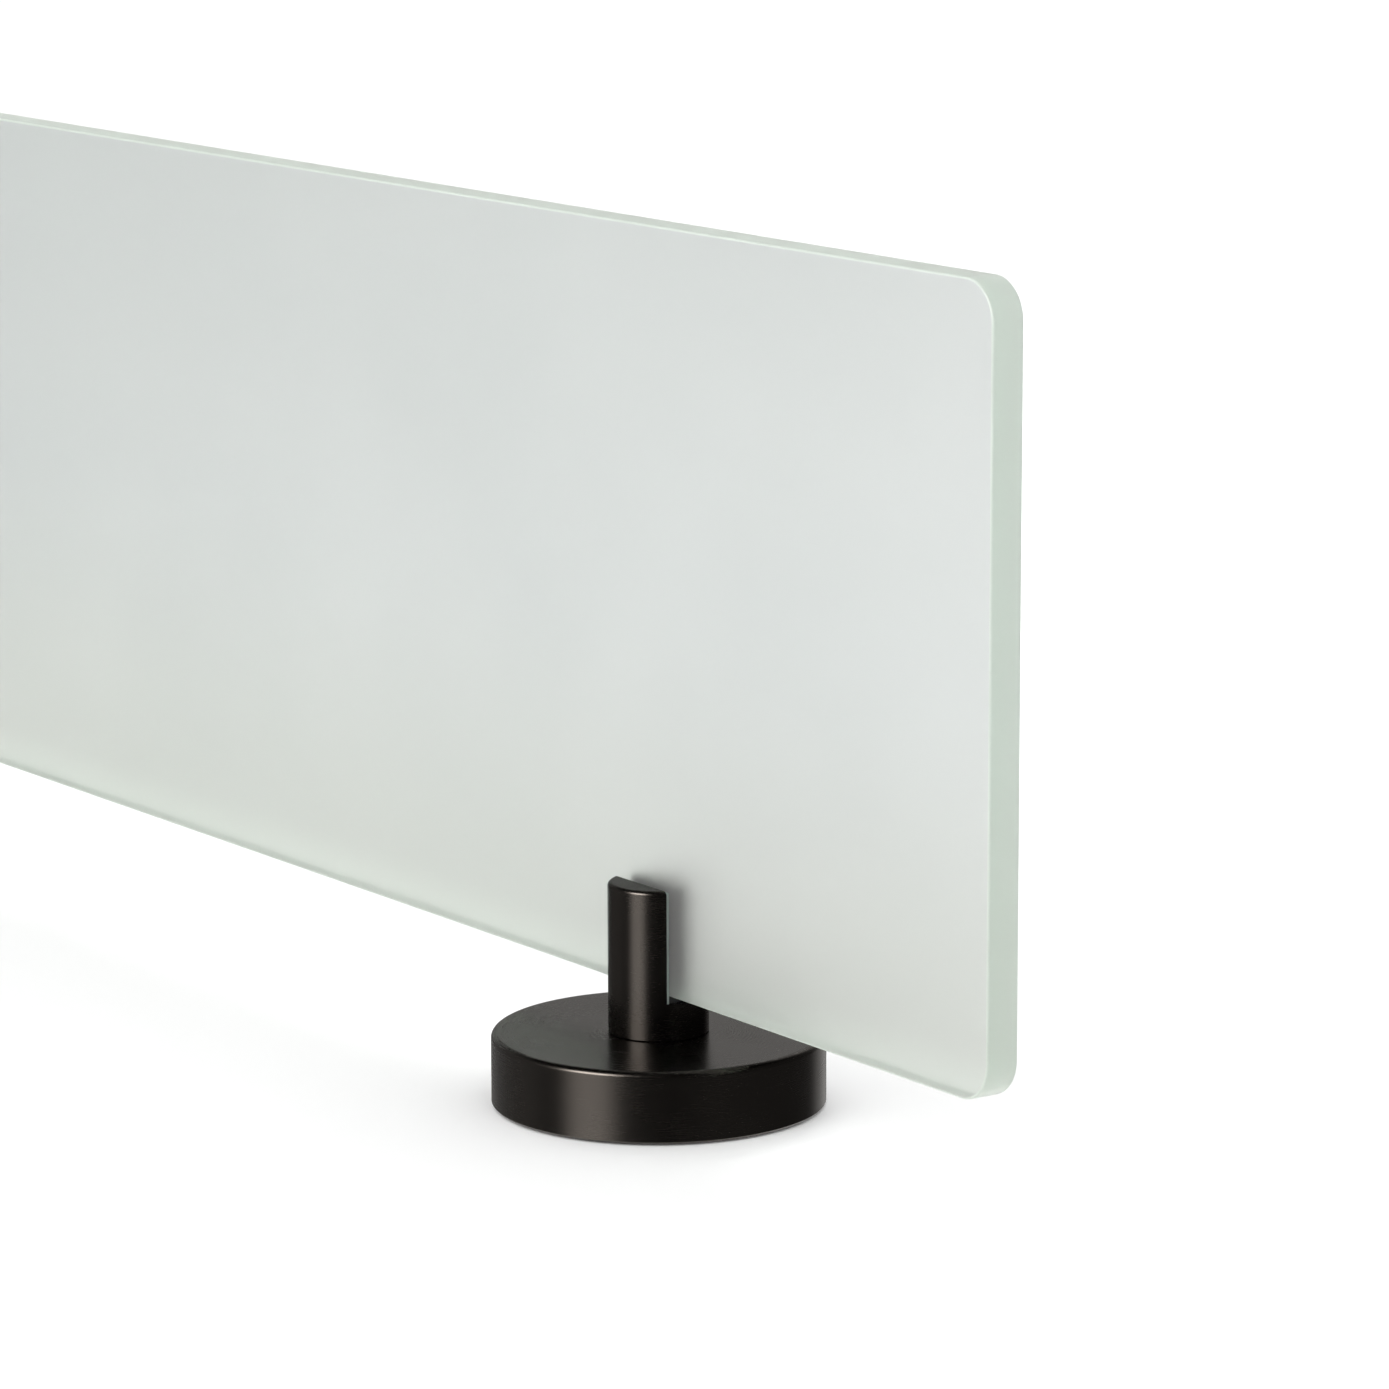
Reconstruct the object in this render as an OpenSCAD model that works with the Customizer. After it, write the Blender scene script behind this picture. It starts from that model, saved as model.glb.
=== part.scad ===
// Desk privacy panel: a low frosted-glass screen standing in two round slotted feet.
// +X runs along the panel, -Y is the front face and +Z is up, with z = 0 on the desk.

/* [Glass] */
// Length of the glass along the desk
glass_length = 1200; // [700:10:1600]
// Height of the glass
glass_height = 212; // [150:1:400]
// Thickness of the glass
glass_thickness = 10; // [8:0.5:10]
// Radius of the four rounded corners
corner_radius = 11; // [5:0.5:30]
// Width of the polished arris along every edge
arris = 0.7; // [0.3:0.1:1.5]

/* [Feet] */
// Distance from each end of the glass to the axis of its foot
foot_inset = 154; // [60:1:280]
// Diameter of the round base
disc_diameter = 93; // [70:1:120]
// Height of the base's top face above the desk
disc_top = 20.3; // [18.8:0.1:28]
// Rounding of the base's top edge
disc_round = 1.7; // [0.4:0.1:2]
// Diameter of the slotted post
post_diameter = 28; // [27:0.5:36]
// Height of the post above the base
post_height = 42.4; // [38:0.1:60]
// Rounding of the post's top edge
post_round = 1.2; // [0.3:0.1:1.5]
// Height of the slot's floor above the base
slot_floor_height = 10.6; // [10:0.1:13]

/* [Pads] */
// Thickness of the soft pads on both sides of the glass
pad_thickness = 1; // [0.6:0.1:1.2]
// Thickness of the block that carries the glass
block_thickness = 2; // [1:0.1:3]
// How far the non-slip pad's edge lies inside the base's edge
foot_pad_inset = 2.5; // [1.5:0.5:10]
// Thickness of the non-slip pad
foot_pad_thickness = 1.5; // [1.2:0.1:2]
// How far the non-slip pad stands out below the base
foot_pad_proud = 0.5; // [0.4:0.1:1.1]

/* [Clamp screws] */
// Diameter of the clamp screws
clamp_diameter = 6; // [4:1:6]
// Height of the lower clamp screw above the base
lower_clamp_height = 19; // [17:0.5:21]
// Height of the upper clamp screw above the base
upper_clamp_height = 32.5; // [31:0.5:34]
// Across flats of the clamp screws' hexagon socket
clamp_socket = 3; // [1.5:0.5:3]

/* [Post bolt] */
// Diameter of the bolt that holds the post on the base
bolt_diameter = 8; // [6:1:8]
// Length of the bolt under its head
bolt_length = 16; // [14:0.5:17]
// Across flats of the bolt's hexagon socket
bolt_socket = 6; // [4:0.5:6]

/* [Hidden] */
$fn = 96;

fit = 0.05;            // radial clearance of a part in its own hole
cut = 1;               // how far a cutting shape runs past the face it opens

disc_r = disc_diameter / 2;
post_r = post_diameter / 2;
foot_x = glass_length / 2 - foot_inset;

// Slot: glass, plus one pad on each side of it
slot_half = glass_thickness / 2 + pad_thickness;
slot_floor = disc_top + slot_floor_height;
post_top = disc_top + post_height;
glass_bottom = slot_floor + block_thickness;
glass_mid = glass_bottom + glass_height / 2;

// Spigot that centres the post in the base
spigot_r = 8;
spigot_depth = 3;
spigot_end = disc_top - spigot_depth;
post_base_bevel = 0.3;

// Pad pocket and bolt seat in the underside of the base
foot_pad_r = disc_r - foot_pad_inset;
foot_pad_bevel = 0.3;
disc_bottom = foot_pad_proud;
disc_bevel = 0.4;
bolt_r = bolt_diameter / 2;
head_r = 6.5;
head_height = 8;
washer_thickness = 1.6;
seat_r = 7.5;
seat_top = disc_top - 8.8;
head_top = seat_top - washer_thickness;
head_bottom = head_top - head_height;
bolt_tip = head_top + bolt_length;
tapped_top = bolt_tip + 1.6;

// Clamp screw and thrust pad, measured along +Y from the middle of the glass
clamp_r = clamp_diameter / 2;
clamp_hole_r = clamp_r + fit;
thrust_r = clamp_r - 0.3;
thrust_front = slot_half;
thrust_back = thrust_front + 1.9;
tip_r = clamp_r / 2;
tip_depth = 0.8;
screw_back = post_r - 0.7;
screw_bevel = 0.4;
socket_depth = 2.5;

// Pads in the slot: a little smaller than the face that each one lies on
slot_chord_half = sqrt(post_r * post_r - slot_half * slot_half);
side_pad_half = slot_chord_half - 0.35;
side_pad_top = post_top - 0.5;
block_half_x = side_pad_half - 0.3;
block_half_y = glass_thickness / 2 - 0.2;

glass_colour = [0.85, 0.89, 0.87, 0.85];
satin_black = [0.13, 0.13, 0.13];
clear_vinyl = [0.66, 0.76, 0.74];
black_rubber = [0.08, 0.08, 0.08];
black_oxide = [0.2, 0.2, 0.21];
white_nylon = [0.9, 0.9, 0.86];
zinc_plate = [0.62, 0.64, 0.66];

// ---------------------------------------------------------------- helpers

// Puts a foot's part on the left (-1) or right (+1) foot's axis.
module at_foot(side) {
  translate([side * foot_x, 0, 0]) children();
}

// Turns a part drawn along +Z so that it lies along +Y, at a height above the base.
module at_clamp(height) {
  translate([0, 0, disc_top + height]) rotate([-90, 0, 0]) children();
}

// Half profile of a turned part from z0 to z1, with a round of size q on its top edge.
module rounded_profile(r, z0, z1, q) {
  translate([0, z0]) square([r, z1 - z0 - q]);
  translate([0, z0]) square([r - q, z1 - z0]);
  translate([r - q, z1 - q]) circle(q);
}

// Hexagonal prism with a given size across its flats.
module hexagon(across_flats, height) {
  linear_extrude(height) circle(r = across_flats / sqrt(3), $fn = 6);
}

// Section of the glass across one direction, with an arris on each corner.
module arrised_section(long_side, short_side) {
  a = long_side / 2;
  b = short_side / 2;
  polygon([
    [-a, arris - b], [arris - a, -b], [a - arris, -b], [a, arris - b],
    [a, b - arris], [a - arris, b], [arris - a, b], [-a, b - arris]
  ]);
}

// One rounded corner of the glass, as a turned piece across its thickness.
module glass_corner() {
  half = glass_thickness / 2;
  rotate([90, 0, 0]) rotate_extrude() polygon([
    [0, -half], [corner_radius - arris, -half], [corner_radius, arris - half],
    [corner_radius, half - arris], [corner_radius - arris, half], [0, half]
  ]);
}

// ---------------------------------------------------------------- glass

module glass_panel() {
  straight_x = glass_length - 2 * corner_radius;
  straight_z = glass_height - 2 * corner_radius;
  color(glass_colour) translate([0, 0, glass_mid]) {
    translate([0, 0, -straight_z / 2])
      linear_extrude(straight_z) arrised_section(glass_length, glass_thickness);
    translate([-straight_x / 2, 0, 0]) rotate([90, 0, 90])
      linear_extrude(straight_x) rotate(90) arrised_section(glass_height, glass_thickness);
    for (sx = [-1, 1], sz = [-1, 1])
      translate([sx * straight_x / 2, 0, sz * straight_z / 2]) glass_corner();
  }
}

// ---------------------------------------------------------------- foot

module base_disc() {
  color(satin_black) difference() {
    rotate_extrude($fn = 180) difference() {
      rounded_profile(disc_r, disc_bottom, disc_top, disc_round);
      translate([disc_r, disc_bottom]) rotate(45)
        square(disc_bevel * sqrt(2), center = true);
    }
    translate([0, 0, disc_bottom - cut])
      cylinder(r = foot_pad_r + fit, h = foot_pad_thickness - foot_pad_proud + cut, $fn = 180);
    cylinder(r = seat_r, h = seat_top);
    cylinder(r = bolt_r + 0.5, h = disc_top);
    translate([0, 0, spigot_end]) cylinder(r = spigot_r + fit, h = spigot_depth + cut);
  }
}

module slotted_post() {
  color(satin_black) difference() {
    union() {
      rotate_extrude() difference() {
        rounded_profile(post_r, disc_top, post_top, post_round);
        translate([post_r, disc_top]) rotate(45)
          square(post_base_bevel * sqrt(2), center = true);
      }
      translate([0, 0, spigot_end]) cylinder(r = spigot_r, h = spigot_depth + cut);
    }
    translate([-disc_r, -slot_half, slot_floor])
      cube([disc_diameter, 2 * slot_half, post_height]);
    translate([0, 0, spigot_end - cut])
      cylinder(r = bolt_r + fit, h = tapped_top - spigot_end + cut);
    for (height = [lower_clamp_height, upper_clamp_height])
      at_clamp(height) translate([0, 0, slot_half - cut])
        cylinder(r = clamp_hole_r, h = post_r - slot_half + 2 * cut);
  }
}

// Thin clear pad between the glass and one prong: front (-1) or rear (+1).
module glass_pad(face) {
  color(clear_vinyl)
    translate([-side_pad_half, face > 0 ? slot_half - pad_thickness : -slot_half, slot_floor])
      cube([2 * side_pad_half, pad_thickness, side_pad_top - slot_floor]);
}

module setting_block() {
  color(black_rubber) translate([-block_half_x, -block_half_y, slot_floor])
    cube([2 * block_half_x, 2 * block_half_y, block_thickness]);
}

// Swivelling pad that the tip of a clamp screw presses towards the glass.
module thrust_pad(height) {
  color(white_nylon) at_clamp(height) difference() {
    translate([0, 0, thrust_front]) cylinder(r = thrust_r, h = thrust_back - thrust_front);
    translate([0, 0, thrust_back - tip_depth]) cylinder(r = tip_r + fit, h = tip_depth + cut);
  }
}

module clamp_screw(height) {
  color(black_oxide) at_clamp(height) difference() {
    rotate_extrude() polygon([
      [0, thrust_back - tip_depth + fit], [tip_r, thrust_back - tip_depth + fit],
      [tip_r, thrust_back], [clamp_r - screw_bevel, thrust_back],
      [clamp_r, thrust_back + screw_bevel], [clamp_r, screw_back - screw_bevel],
      [clamp_r - screw_bevel, screw_back], [0, screw_back]
    ]);
    translate([0, 0, screw_back - socket_depth]) hexagon(clamp_socket, socket_depth + cut);
  }
}

module post_bolt() {
  tip_bevel = 0.8;
  head_round = 0.6;
  color(zinc_plate) difference() {
    rotate_extrude() union() {
      mirror([0, 1]) rounded_profile(head_r, -head_top, -head_bottom, head_round);
      polygon([
        [0, head_bottom + 1], [bolt_r, head_bottom + 1], [bolt_r, bolt_tip - tip_bevel],
        [bolt_r - tip_bevel, bolt_tip], [0, bolt_tip]
      ]);
    }
    translate([0, 0, head_bottom - cut]) hexagon(bolt_socket, head_height / 2 + cut);
  }
}

// Split spring washer under the bolt's head.
module bolt_washer() {
  split = 1.2;
  color(zinc_plate) translate([0, 0, head_top]) difference() {
    cylinder(r = head_r - 0.15, h = washer_thickness);
    translate([0, 0, -cut]) cylinder(r = bolt_r + 0.2, h = washer_thickness + 2 * cut);
    translate([0, -split / 2, -cut]) cube([seat_r, split, washer_thickness + 2 * cut]);
  }
}

module non_slip_pad() {
  color(black_rubber) rotate_extrude($fn = 180) polygon([
    [0, 0], [foot_pad_r - foot_pad_bevel, 0], [foot_pad_r, foot_pad_bevel],
    [foot_pad_r, foot_pad_thickness], [0, foot_pad_thickness]
  ]);
}

// ---------------------------------------------------------------- nodes

glass_panel();

at_foot(-1) base_disc();  // left_base_disc
at_foot(-1) slotted_post();  // left_slotted_post
at_foot(-1) glass_pad(-1);  // left_front_glass_pad
at_foot(-1) glass_pad(1);  // left_rear_glass_pad
at_foot(-1) setting_block();  // left_setting_block
at_foot(-1) clamp_screw(upper_clamp_height);  // left_upper_clamp_screw
at_foot(-1) clamp_screw(lower_clamp_height);  // left_lower_clamp_screw
at_foot(-1) thrust_pad(upper_clamp_height);  // left_upper_thrust_pad
at_foot(-1) thrust_pad(lower_clamp_height);  // left_lower_thrust_pad
at_foot(-1) post_bolt();  // left_post_bolt
at_foot(-1) bolt_washer();  // left_bolt_washer
at_foot(-1) non_slip_pad();  // left_non_slip_pad

at_foot(1) base_disc();  // right_base_disc
at_foot(1) slotted_post();  // right_slotted_post
at_foot(1) glass_pad(-1);  // right_front_glass_pad
at_foot(1) glass_pad(1);  // right_rear_glass_pad
at_foot(1) setting_block();  // right_setting_block
at_foot(1) clamp_screw(upper_clamp_height);  // right_upper_clamp_screw
at_foot(1) clamp_screw(lower_clamp_height);  // right_lower_clamp_screw
at_foot(1) thrust_pad(upper_clamp_height);  // right_upper_thrust_pad
at_foot(1) thrust_pad(lower_clamp_height);  // right_lower_thrust_pad
at_foot(1) post_bolt();  // right_post_bolt
at_foot(1) bolt_washer();  // right_bolt_washer
at_foot(1) non_slip_pad();  // right_non_slip_pad
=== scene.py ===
"""Looks for the desk privacy panel: frosted glass in two satin black slotted feet."""

import math

import bmesh
import bpy
from mathutils import Euler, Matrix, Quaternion, Vector


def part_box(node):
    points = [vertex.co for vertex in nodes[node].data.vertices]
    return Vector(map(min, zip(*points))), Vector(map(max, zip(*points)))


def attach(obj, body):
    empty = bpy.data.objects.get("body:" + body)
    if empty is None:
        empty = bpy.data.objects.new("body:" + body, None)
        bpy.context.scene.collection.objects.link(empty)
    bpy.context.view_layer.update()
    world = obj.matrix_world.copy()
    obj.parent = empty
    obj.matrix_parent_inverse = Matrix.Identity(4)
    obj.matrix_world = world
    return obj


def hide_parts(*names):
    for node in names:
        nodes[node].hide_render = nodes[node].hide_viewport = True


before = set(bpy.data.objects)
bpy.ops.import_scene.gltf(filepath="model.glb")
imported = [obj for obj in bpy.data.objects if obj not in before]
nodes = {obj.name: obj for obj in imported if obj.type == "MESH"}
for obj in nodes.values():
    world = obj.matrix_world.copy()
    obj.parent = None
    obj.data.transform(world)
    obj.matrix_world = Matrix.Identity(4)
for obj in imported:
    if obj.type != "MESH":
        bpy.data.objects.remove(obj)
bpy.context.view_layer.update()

SIDES = ("left", "right")
MM = 0.001

# Glass
CORNER_RADIUS = 11 * MM
ARRIS = 0.7 * MM
CORNER_STEPS = 20
ARRIS_STEPS = 4

# Floor
FLOOR_REACH = 12.0
FLOOR_DROP = 0.2 * MM

# Camera
CAMERA_PLACE = (1.7325, -0.8919, 0.4258)
CAMERA_TURN = 54.896
CAMERA_DOWN = 11.229
CAMERA_ROLL = -0.132
SENSOR_MM = 36.0
LENS_MM = 150.94


# ------------------------------------------------------------------ node helpers


class Nodes:
    """A node tree, with short calls for the few node kinds used here."""

    def __init__(self, tree):
        self.tree = tree
        tree.nodes.clear()

    def link(self, source, target):
        self.tree.links.new(source, target)

    def node(self, kind, **settings):
        made = self.tree.nodes.new("ShaderNode" + kind)
        for key, value in settings.items():
            setattr(made, key, value)
        return made

    def feed(self, socket, value):
        """Sets a socket to a plain value, or links it if value is another socket."""
        if isinstance(value, bpy.types.NodeSocket):
            self.link(value, socket)
        else:
            socket.default_value = value

    def math(self, operation, *values):
        made = self.node("Math", operation=operation)
        for socket, value in zip(made.inputs, values):
            self.feed(socket, value)
        return made.outputs[0]

    def spread(self, value, low, high, to_low, to_high):
        """Maps a number from one range to another, clamped, with a smooth step."""
        made = self.node("MapRange", interpolation_type="SMOOTHSTEP")
        for socket, number in zip(made.inputs, (value, low, high, to_low, to_high)):
            self.feed(socket, number)
        return made.outputs[0]

    def coords(self):
        """Texture coordinates in the piece's own space, in metres."""
        return self.node("TexCoord").outputs["Object"]

    def split(self, vector):
        """The x, y and z sockets of a vector."""
        made = self.node("SeparateXYZ")
        self.link(vector, made.inputs[0])
        return made.outputs

    def noise(self, vector, scale, detail=3.0, roughness=0.5, distortion=0.0):
        made = self.node("TexNoise")
        self.link(vector, made.inputs["Vector"])
        made.inputs["Scale"].default_value = scale
        made.inputs["Detail"].default_value = detail
        made.inputs["Roughness"].default_value = roughness
        made.inputs["Distortion"].default_value = distortion
        return made.outputs["Fac"]

    def mix_colours(self, factor, low, high):
        made = self.node("Mix", data_type="RGBA")
        self.feed(made.inputs["Factor"], factor)
        self.feed(made.inputs["A"], low)
        self.feed(made.inputs["B"], high)
        return made.outputs["Result"]

    def bump(self, height, distance, strength, onto=None):
        made = self.node("Bump")
        made.inputs["Strength"].default_value = strength
        made.inputs["Distance"].default_value = distance
        self.feed(made.inputs["Height"], height)
        if onto is not None:
            self.link(onto, made.inputs["Normal"])
        return made.outputs[0]


class Shader(Nodes):
    """A material with a Principled surface."""

    def __init__(self, name):
        self.material = bpy.data.materials.new(name)
        self.material.use_nodes = True
        super().__init__(self.material.node_tree)
        self.out = self.node("OutputMaterial")
        self.bsdf = self.node("BsdfPrincipled")
        self.link(self.bsdf.outputs[0], self.out.inputs["Surface"])

    def set(self, **values):
        """Sets the Principled shader's sockets by name, with _ for a space."""
        for key, value in values.items():
            self.feed(self.bsdf.inputs[key.replace("_", " ")], value)


def colour(r, g, b):
    return (r, g, b, 1.0)


# ------------------------------------------------------------------ materials


def frosted_glass(bottom):
    """Satin-etched glass, rough on both faces and greener where one looks into its edge.

    bottom is the height of the glass's lower edge. Its last centimetre or so is painted lighter,
    a painted glow as if lit through that edge.
    """
    s = Shader("frosted_glass")
    edge = s.node("Attribute", attribute_name="edge").outputs["Fac"]
    height = s.split(s.coords())[2]
    cloud = s.noise(s.coords(), scale=9.0, detail=2.0)
    grain = s.noise(s.coords(), scale=1500.0, detail=2.0, roughness=0.6)
    # Painted light: the pane is painted a little lighter and warmer low down and cooler higher up,
    # with a random cloudy tone on top.
    painted_height_tone = s.spread(height, bottom - 2.9 * MM, bottom + 117.1 * MM, 0.0, 0.8)
    shade = s.math("ADD", painted_height_tone, s.math("MULTIPLY", cloud, 0.2))
    pane = s.mix_colours(shade, colour(0.785, 0.780, 0.755), colour(0.760, 0.757, 0.767))
    # Painted light: a lighter band is painted over the lowest 15 mm or so, as if lit through the
    # lower edge.
    painted_edge_glow = s.spread(height, bottom + 0.6 * MM, bottom + 15.1 * MM, 1.0, 0.0)
    face = s.mix_colours(painted_edge_glow, pane, colour(0.880, 0.890, 0.855))
    roughness = s.math(
        "ADD",
        s.spread(cloud, 0.3, 0.7, 0.40, 0.47),
        s.math("MULTIPLY", edge, -0.12),
    )
    s.set(
        Base_Color=s.mix_colours(edge, face, colour(0.90, 0.95, 0.88)),
        Roughness=roughness,
        IOR=1.5,
        Transmission_Weight=s.math("SUBTRACT", 0.84, s.math("MULTIPLY", edge, 0.16)),
        Normal=s.bump(grain, distance=0.02 * MM, strength=0.25),
    )
    absorb = s.node("VolumeAbsorption")
    absorb.inputs["Color"].default_value = colour(0.36, 0.86, 0.55)
    absorb.inputs["Density"].default_value = 6.0
    s.link(absorb.outputs[0], s.out.inputs["Volume"])
    return s.material


def satin_black(name, axis_x, grazing):
    """Black-finished turned steel, with fine tool marks round the upright axis at axis_x.

    grazing is how much it mirrors at a shallow angle.
    """
    s = Shader(name)
    place_x, y, z = s.split(s.coords())
    x = s.math("SUBTRACT", place_x, axis_x)
    radius = s.math("SQRT", s.math("ADD", s.math("MULTIPLY", x, x), s.math("MULTIPLY", y, y)))
    # The angle counts for little here, so that the noise stretches into long arcs
    metres_per_radian = 1.5 * MM
    arc = s.math("MULTIPLY", s.math("ARCTAN2", y, x), metres_per_radian)
    around = s.node("CombineXYZ")
    for socket, value in zip(around.inputs, (radius, arc, z)):
        s.feed(socket, value)
    marks = s.noise(around.outputs[0], scale=5200.0, detail=2.0, roughness=0.6)
    smudge = s.noise(s.coords(), scale=45.0, detail=3.0, roughness=0.55, distortion=0.3)
    grain = s.noise(s.coords(), scale=1800.0, detail=2.0)
    rough = s.math(
        "ADD",
        s.spread(marks, 0.3, 0.7, 0.235, 0.265),
        s.spread(smudge, 0.35, 0.75, 0.0, 0.03),
    )
    turned = s.bump(marks, distance=0.006 * MM, strength=0.35)
    s.set(
        Base_Color=s.mix_colours(smudge, colour(0.051, 0.046, 0.042), colour(0.061, 0.055, 0.050)),
        Metallic=1.0,
        Roughness=rough,
        Specular_Tint=colour(grazing, grazing, grazing),
        Normal=s.bump(grain, distance=0.004 * MM, strength=0.35, onto=turned),
    )
    return s.material


def clear_vinyl():
    """Clear soft plastic, slightly green and cloudy."""
    s = Shader("clear_vinyl")
    mottle = s.noise(s.coords(), scale=160.0, detail=2.0)
    s.set(
        Base_Color=s.mix_colours(mottle, colour(0.50, 0.60, 0.56), colour(0.56, 0.66, 0.62)),
        Roughness=s.spread(mottle, 0.3, 0.7, 0.38, 0.46),
        IOR=1.49,
        Transmission_Weight=0.6,
        Normal=s.bump(mottle, distance=0.01 * MM, strength=0.1),
    )
    return s.material


def black_rubber():
    """Dull pebbled rubber, paler in worn patches."""
    s = Shader("black_rubber")
    pebble = s.noise(s.coords(), scale=2400.0, roughness=0.6)
    wear = s.noise(s.coords(), scale=60.0)
    s.set(
        Base_Color=s.mix_colours(wear, colour(0.018, 0.018, 0.019), colour(0.034, 0.033, 0.032)),
        Roughness=s.spread(wear, 0.3, 0.7, 0.72, 0.88),
        Specular_IOR_Level=0.35,
        Normal=s.bump(pebble, distance=0.08 * MM, strength=0.6),
    )
    return s.material


def black_oxide():
    """Blackened steel, as on socket screws."""
    s = Shader("black_oxide_steel")
    grain = s.noise(s.coords(), scale=900.0)
    s.set(
        Base_Color=s.mix_colours(grain, colour(0.045, 0.046, 0.050), colour(0.085, 0.085, 0.090)),
        Metallic=1.0,
        Roughness=s.spread(grain, 0.3, 0.7, 0.30, 0.45),
        Normal=s.bump(grain, distance=0.03 * MM, strength=0.3),
    )
    return s.material


def white_nylon():
    """Off-white nylon that lets a little light in."""
    s = Shader("white_nylon")
    grain = s.noise(s.coords(), scale=700.0, detail=2.0)
    s.set(
        Base_Color=s.mix_colours(grain, colour(0.74, 0.73, 0.68), colour(0.82, 0.81, 0.77)),
        Roughness=s.spread(grain, 0.3, 0.7, 0.42, 0.55),
        Subsurface_Weight=0.15,
        Subsurface_Scale=1 * MM,
        Normal=s.bump(grain, distance=0.03 * MM, strength=0.3),
    )
    return s.material


def zinc_plate():
    """Zinc-plated steel with a faint spangle."""
    s = Shader("zinc_plated_steel")
    spangle = s.noise(s.coords(), scale=420.0, detail=4.0, roughness=0.6)
    s.set(
        Base_Color=s.mix_colours(spangle, colour(0.52, 0.54, 0.56), colour(0.66, 0.67, 0.66)),
        Metallic=1.0,
        Roughness=s.spread(spangle, 0.3, 0.7, 0.28, 0.42),
        Normal=s.bump(spangle, distance=0.04 * MM, strength=0.3),
    )
    return s.material


def plain_floor():
    """Pale studio floor. Its underside is see-through, so views from below work."""
    s = Shader("studio_floor")
    s.set(Base_Color=colour(0.93, 0.93, 0.93), Roughness=0.9, Specular_IOR_Level=0.0)
    clear = s.node("BsdfTransparent")
    from_below = s.node("NewGeometry").outputs["Backfacing"]
    mix = s.node("MixShader")
    for socket, source in zip(mix.inputs, (from_below, s.bsdf.outputs[0], clear.outputs[0])):
        s.link(source, socket)
    s.link(mix.outputs[0], s.out.inputs["Surface"])
    return s.material


# ------------------------------------------------------------------ glass


def rounded_outline(half_x, half_z, radius, steps):
    """Points round a rounded rectangle, each with its outward direction."""
    points = []
    for quarter, (sx, sz) in enumerate(((1, 1), (-1, 1), (-1, -1), (1, -1))):
        for k in range(steps + 1):
            a = math.pi / 2 * (quarter + k / steps)
            out = Vector((math.cos(a), 0, math.sin(a)))
            centre = Vector((sx * (half_x - radius), 0, sz * (half_z - radius)))
            points.append((centre + out * radius, out))
    return points


def edge_profile(half_thickness):
    """Pairs of (inset from the outline, place across the thickness), front to back."""
    arc = []
    for k in range(ARRIS_STEPS + 1):
        a = math.pi / 2 * k / ARRIS_STEPS
        arc.append((ARRIS * (1 - math.sin(a)), half_thickness - ARRIS * (1 - math.cos(a))))
    front = [(inset, -across) for inset, across in arc]
    return front + arc[::-1]


def make_glass(low, high):
    """The glass: flat etched faces, a ground edge, and a rounded arris between them."""
    centre, half = (low + high) / 2, (high - low) / 2
    outline = rounded_outline(half.x, half.z, CORNER_RADIUS, CORNER_STEPS)
    bm = bmesh.new()
    rings = []
    for inset, across in edge_profile(half.y):
        offset = centre + Vector((0, across, 0))
        rings.append([bm.verts.new(offset + p - out * inset) for p, out in outline])
    count = len(outline)
    for a, b in zip(rings, rings[1:]):
        for i in range(count):
            j = (i + 1) % count
            bm.faces.new((a[i], a[j], b[j], b[i]))
    bm.faces.new(rings[0][::-1])
    bm.faces.new(rings[-1])
    for face in bm.faces:
        face.smooth = True
    bmesh.ops.recalc_face_normals(bm, faces=bm.faces)
    mesh = bpy.data.meshes.new("glass")
    bm.to_mesh(mesh)
    bm.free()
    # 0 on the first and last rings, which border the flat faces, and 1 on those between
    edge = mesh.attributes.new("edge", "FLOAT", "POINT")
    last = len(rings) - 1
    for row in range(len(rings)):
        for i in range(count):
            edge.data[row * count + i].value = 0.0 if row in (0, last) else 1.0
    mesh.materials.append(frosted_glass(low.z))
    panel = bpy.data.objects.new("frosted_glass_panel", mesh)
    bpy.context.scene.collection.objects.link(panel)
    weighted = panel.modifiers.new("flat_faces", "WEIGHTED_NORMAL")
    weighted.keep_sharp = True
    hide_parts("glass_panel")
    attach(panel, "panel")


# ------------------------------------------------------------------ dressing the CAD nodes


def dress(node, material):
    slots = nodes[node].data.materials
    slots.clear()
    slots.append(material)


def foot_axis(side):
    """The point at floor level on a foot's upright axis."""
    low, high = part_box(side + "_base_disc")
    return Vector(((low.x + high.x) / 2, (low.y + high.y) / 2, 0))


def dress_feet():
    """Turned black discs and posts, and the plain materials of the small pieces."""
    shared = (
        (clear_vinyl(), ("front_glass_pad", "rear_glass_pad")),
        (black_rubber(), ("setting_block", "non_slip_pad")),
        (black_oxide(), ("upper_clamp_screw", "lower_clamp_screw")),
        (white_nylon(), ("upper_thrust_pad", "lower_thrust_pad")),
        (zinc_plate(), ("post_bolt", "bolt_washer")),
    )
    for side in SIDES:
        axis_x = foot_axis(side).x
        dress(side + "_base_disc", satin_black(side + "_base_black", axis_x, grazing=0.8))
        dress(side + "_slotted_post", satin_black(side + "_post_black", axis_x, grazing=0.6))
        for material, names in shared:
            for name in names:
                dress(f"{side}_{name}", material)


# ------------------------------------------------------------------ studio


def make_floor():
    """A large square, a little lower than the feet so that it never meets their pads."""
    mesh = bpy.data.meshes.new("floor")
    r = FLOOR_REACH
    corners = [(-r, -r, 0), (r, -r, 0), (r, r, 0), (-r, r, 0)]
    mesh.from_pydata(corners, [], [(0, 1, 2, 3)])
    mesh.materials.append(plain_floor())
    floor = bpy.data.objects.new("floor", mesh)
    bpy.context.scene.collection.objects.link(floor)
    floor.location.z = -FLOOR_DROP
    floor.visible_glossy = False


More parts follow.
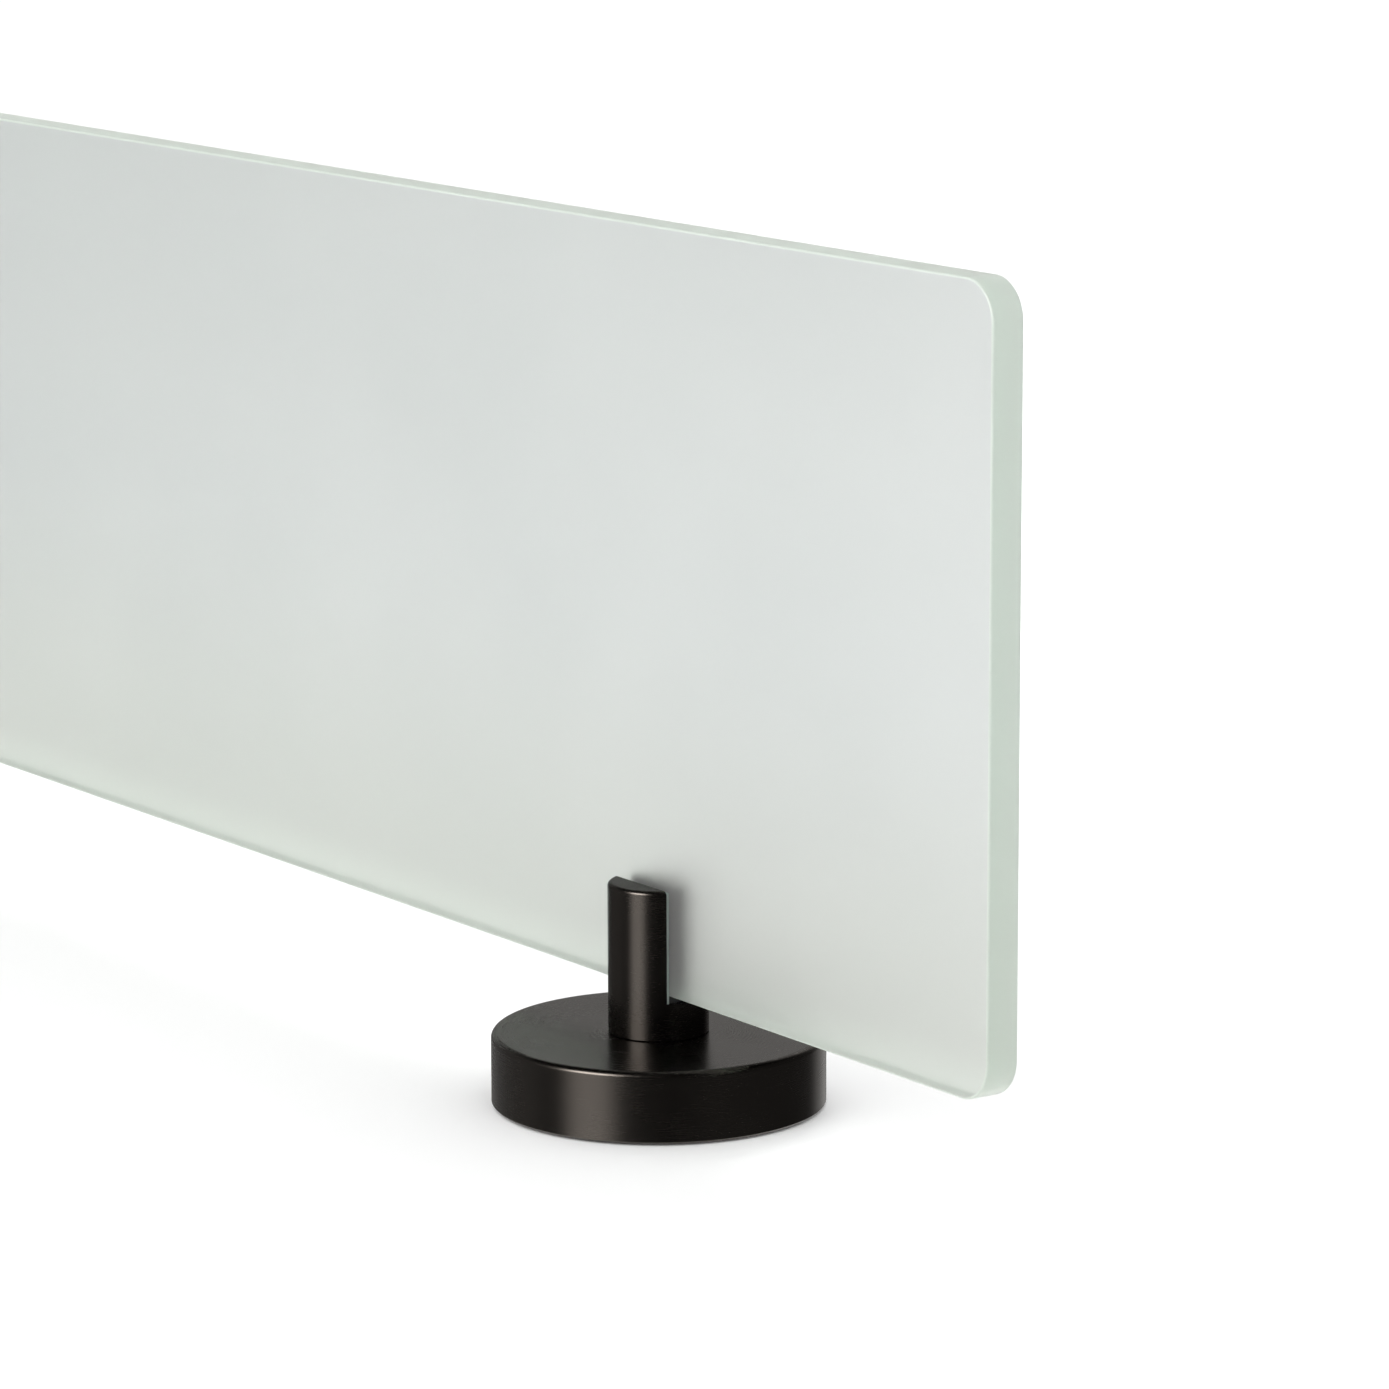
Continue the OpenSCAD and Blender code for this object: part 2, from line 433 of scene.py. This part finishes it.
def soft_light(name, place, target, size, power):
    """A square area lamp for the floor and the glass. Gloss mirrors the world's panels instead."""
    data = bpy.data.lights.new(name, "AREA")
    data.shape = "RECTANGLE"
    data.size = data.size_y = size
    data.energy = power
    lamp = bpy.data.objects.new(name, data)
    bpy.context.scene.collection.objects.link(lamp)
    lamp.location = place
    lamp.rotation_mode = "QUATERNION"
    lamp.rotation_quaternion = (Vector(target) - Vector(place)).to_track_quat("-Z", "Y")
    lamp.visible_camera = lamp.visible_glossy = lamp.visible_transmission = False


class Studio(Nodes):
    """The world: a white room to the eye, and a dark one with soft panels to gloss."""

    def __init__(self, tree):
        super().__init__(tree)
        self.x, self.y, self.z = self.split(self.node("TexCoord").outputs["Generated"])

    def panel(self, turn, half_width, low, high, strength, soft=6.0):
        """Brightness of a soft-edged panel.

        turn is its middle, in degrees from straight in front (-Y) towards +X. low and
        high are the heights of its edges, as the sine of the angle above the floor. soft
        is how far its side edges fade each way, in degrees.
        """
        fade = 0.12
        t = math.radians(turn)
        ahead = self.math(
            "SUBTRACT",
            self.math("MULTIPLY", self.x, math.sin(t)),
            self.math("MULTIPLY", self.y, math.cos(t)),
        )
        across = self.math(
            "ADD",
            self.math("MULTIPLY", self.x, math.cos(t)),
            self.math("MULTIPLY", self.y, math.sin(t)),
        )
        off = self.math("ABSOLUTE", self.math("ARCTAN2", across, ahead))
        inner, outer = math.radians(half_width - soft), math.radians(half_width + soft)
        wide = self.spread(off, inner, outer, strength, 0.0)
        above = self.spread(self.z, low - fade, low + fade, 0.0, 1.0)
        below = self.spread(self.z, high - fade, high + fade, 1.0, 0.0)
        return self.math("MULTIPLY", wide, self.math("MULTIPLY", above, below))

    def background(self, tint, strength):
        made = self.node("Background")
        made.inputs["Color"].default_value = tint
        self.feed(made.inputs["Strength"], strength)
        return made.outputs[0]

    def choose(self, factor, otherwise, chosen):
        made = self.node("MixShader")
        for socket, source in zip(made.inputs, (factor, otherwise, chosen)):
            self.link(source, socket)
        return made.outputs[0]


def make_world():
    """Light for each kind of ray: what gloss mirrors, what shines through, and the rest."""
    world = bpy.data.worlds.new("studio")
    world.use_nodes = True
    s = Studio(world.node_tree)
    white = colour(1, 1, 1)
    room, from_floor = 0.03, 0.8
    parts = (
        # Above desk level in front, for the rounded rims and what the discs mirror
        s.panel(turn=6, half_width=17, low=0.22, high=0.62, strength=17.0),
        # Low in front, for the upright sides
        s.panel(turn=7, half_width=16, low=-0.90, high=0.10, strength=2.1, soft=9.0),
        # Dim ones: left, left rear, rear, and from the right round to the rear
        s.panel(turn=-92, half_width=60, low=-0.90, high=0.55, strength=0.25, soft=15.0),
        s.panel(turn=-125, half_width=40, low=0.08, high=0.60, strength=0.30, soft=15.0),
        s.panel(turn=205, half_width=15, low=-0.90, high=0.70, strength=0.5),
        s.panel(turn=150, half_width=72, low=-0.90, high=0.55, strength=0.07, soft=15.0),
        # The pale floor, seen steeply
        s.spread(s.z, -0.75, -0.28, from_floor, 0.0),
    )
    gloss = room
    for part in parts:
        gloss = s.math("ADD", gloss, part)
    ray = s.node("LightPath").outputs
    mirrored = s.background(colour(1.0, 0.98, 0.95), gloss)
    through = s.background(white, 0.95)
    shade = s.background(white, 1.12)
    shade = s.choose(ray["Is Glossy Ray"], shade, mirrored)
    shade = s.choose(ray["Is Transmission Ray"], shade, through)
    out = s.node("OutputWorld")
    s.link(shade, out.inputs["Surface"])
    # Each kind of ray finds its own brightness only if the world is never sampled as a lamp
    world.cycles.sampling_method = "NONE"
    bpy.context.scene.world = world


def make_camera():
    """Long lens, from the front right and a little above."""
    data = bpy.data.cameras.new("camera")
    data.sensor_width = SENSOR_MM
    data.lens = LENS_MM
    data.clip_start, data.clip_end = 0.1, 60.0
    camera = bpy.data.objects.new("camera", data)
    bpy.context.scene.collection.objects.link(camera)
    camera.location = CAMERA_PLACE
    turn, down, roll = (math.radians(d) for d in (CAMERA_TURN, CAMERA_DOWN, CAMERA_ROLL))
    aim = Euler((math.pi / 2 - down, 0.0, turn)).to_quaternion()
    camera.rotation_mode = "QUATERNION"
    camera.rotation_quaternion = aim @ Quaternion((0, 0, 1), roll)
    bpy.context.scene.camera = camera


make_glass(*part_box("glass_panel"))
dress_feet()
make_floor()
make_world()
foot = foot_axis("right") + Vector((0, 0, 30 * MM))
soft_light("key", place=(0.9, -2.2, 1.6), target=foot, size=1.4, power=20.0)
soft_light("back", place=(-0.22, 0.65, 0.75), target=(-0.22, 0.45, 0), size=0.6, power=5.0)
make_camera()

scene = bpy.context.scene
scene.view_settings.view_transform = "Standard"
scene.view_settings.look = "None"
